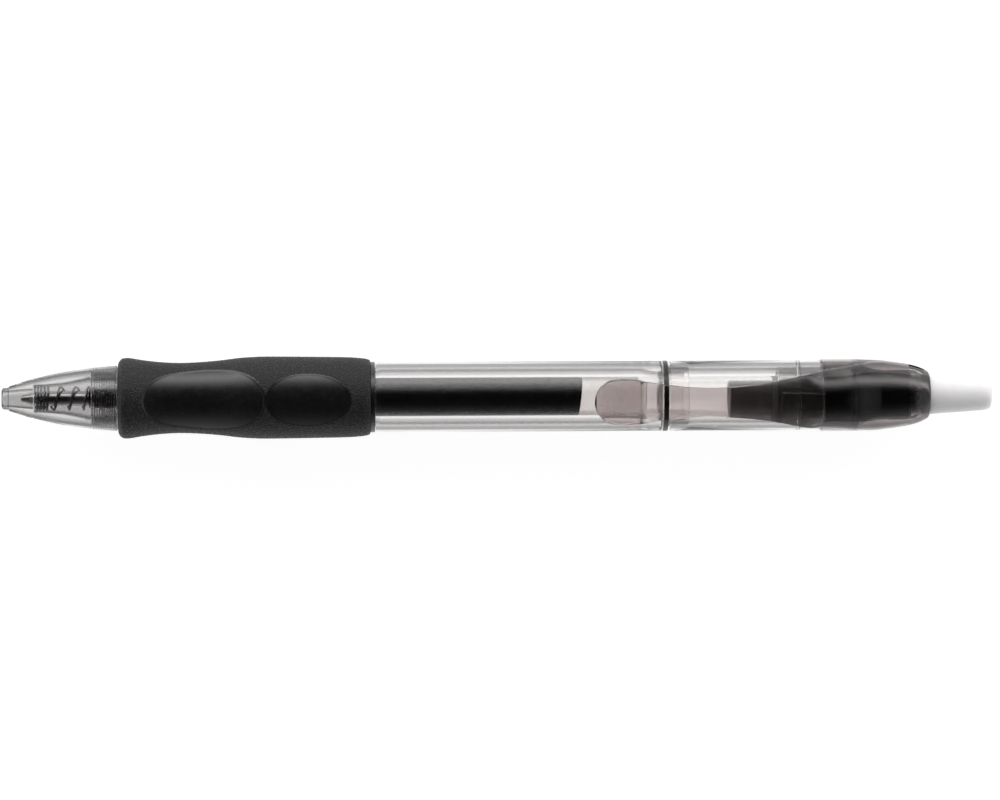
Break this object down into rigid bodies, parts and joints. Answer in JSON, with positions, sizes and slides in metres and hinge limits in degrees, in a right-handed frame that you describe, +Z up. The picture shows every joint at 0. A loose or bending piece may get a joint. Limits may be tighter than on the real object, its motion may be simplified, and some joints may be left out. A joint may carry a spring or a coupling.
{
  "type": "gel pen",
  "caption": "Retractable gel pen with a clear barrel, rubber grip, spring clip and push button on a turning cam.",
  "frame": {"origin": "under the middle of the pen's length, on the surface it lies on", "axes": "+X along the pen towards the push button, +Z up through the clip, +Y across"},
  "size_m": [0.146, 0.0122, 0.0135],
  "materials": {
    "clear_plastic": "polished, see-through",
    "smoke_plastic": "polished, smoke-tinted and see-through",
    "grip_rubber": "fine pebbled skin with satin finger hollows",
    "black_plastic": "moulded, low gloss",
    "frosted_plastic": "frosted white",
    "steel": "bright turned steel",
    "black_ink": "wet gel ink behind plastic",
    "grease": "cloudy grease"
  },
  "bodies": {
    "barrel": {"nose_cone": "clear_plastic", "front_barrel": "clear_plastic", "grip_sleeve": "grip_rubber", "accent_ring": "black_plastic", "rear_barrel": "clear_plastic", "end_cap": "smoke_plastic", "cam_sleeve": "smoke_plastic", "return_spring": "steel"},
    "button": {"push_button": "frosted_plastic", "push_cam": "black_plastic"},
    "refill": {"writing_tip": "steel", "tip_adapter": "black_plastic", "refill_tube": "clear_plastic", "ink_column": "black_ink", "ink_follower": "grease", "tail_plug": "black_plastic"},
    "rotor": {"rotor": "black_plastic"},
    "ball": {"tip_ball": "steel"},
    "clip": {"clip": "smoke_plastic"}
  },
  "joints": [
    {"name": "button_press", "type": "slide", "parent": "barrel", "child": "button", "axis": [-1, 0, 0], "range_m": [0, 0.006], "stiffness_N_per_m": 500},
    {"name": "refill_slide", "type": "slide", "parent": "barrel", "child": "refill", "axis": [-1, 0, 0], "range_m": [0, 0.006], "deforming": ["return_spring"]},
    {"name": "rotor_turn", "type": "hinge", "parent": "refill", "child": "rotor", "pos_m": [0.045, 0, 0.00609], "axis": [1, 0, 0], "range_deg": [0, 22.5]},
    {"name": "ball_roll", "type": "hinge", "parent": "refill", "child": "ball", "pos_m": [-0.06965, 0, 0.00609], "axis": [0, 1, 0], "continuous": true},
    {"name": "clip_flex", "type": "hinge", "parent": "barrel", "child": "clip", "pos_m": [0.0542, 0, 0.01149], "axis": [0, 1, 0], "range_deg": [0, 4], "stiffness_Nm_per_rad": 2.2}
  ],
  "couplings": [
    {"joint": "refill_slide", "follows": "button_press", "ratio": 1},
    {"joint": "rotor_turn", "follows": "button_press", "rad_per_m": 65.45}
  ]
}
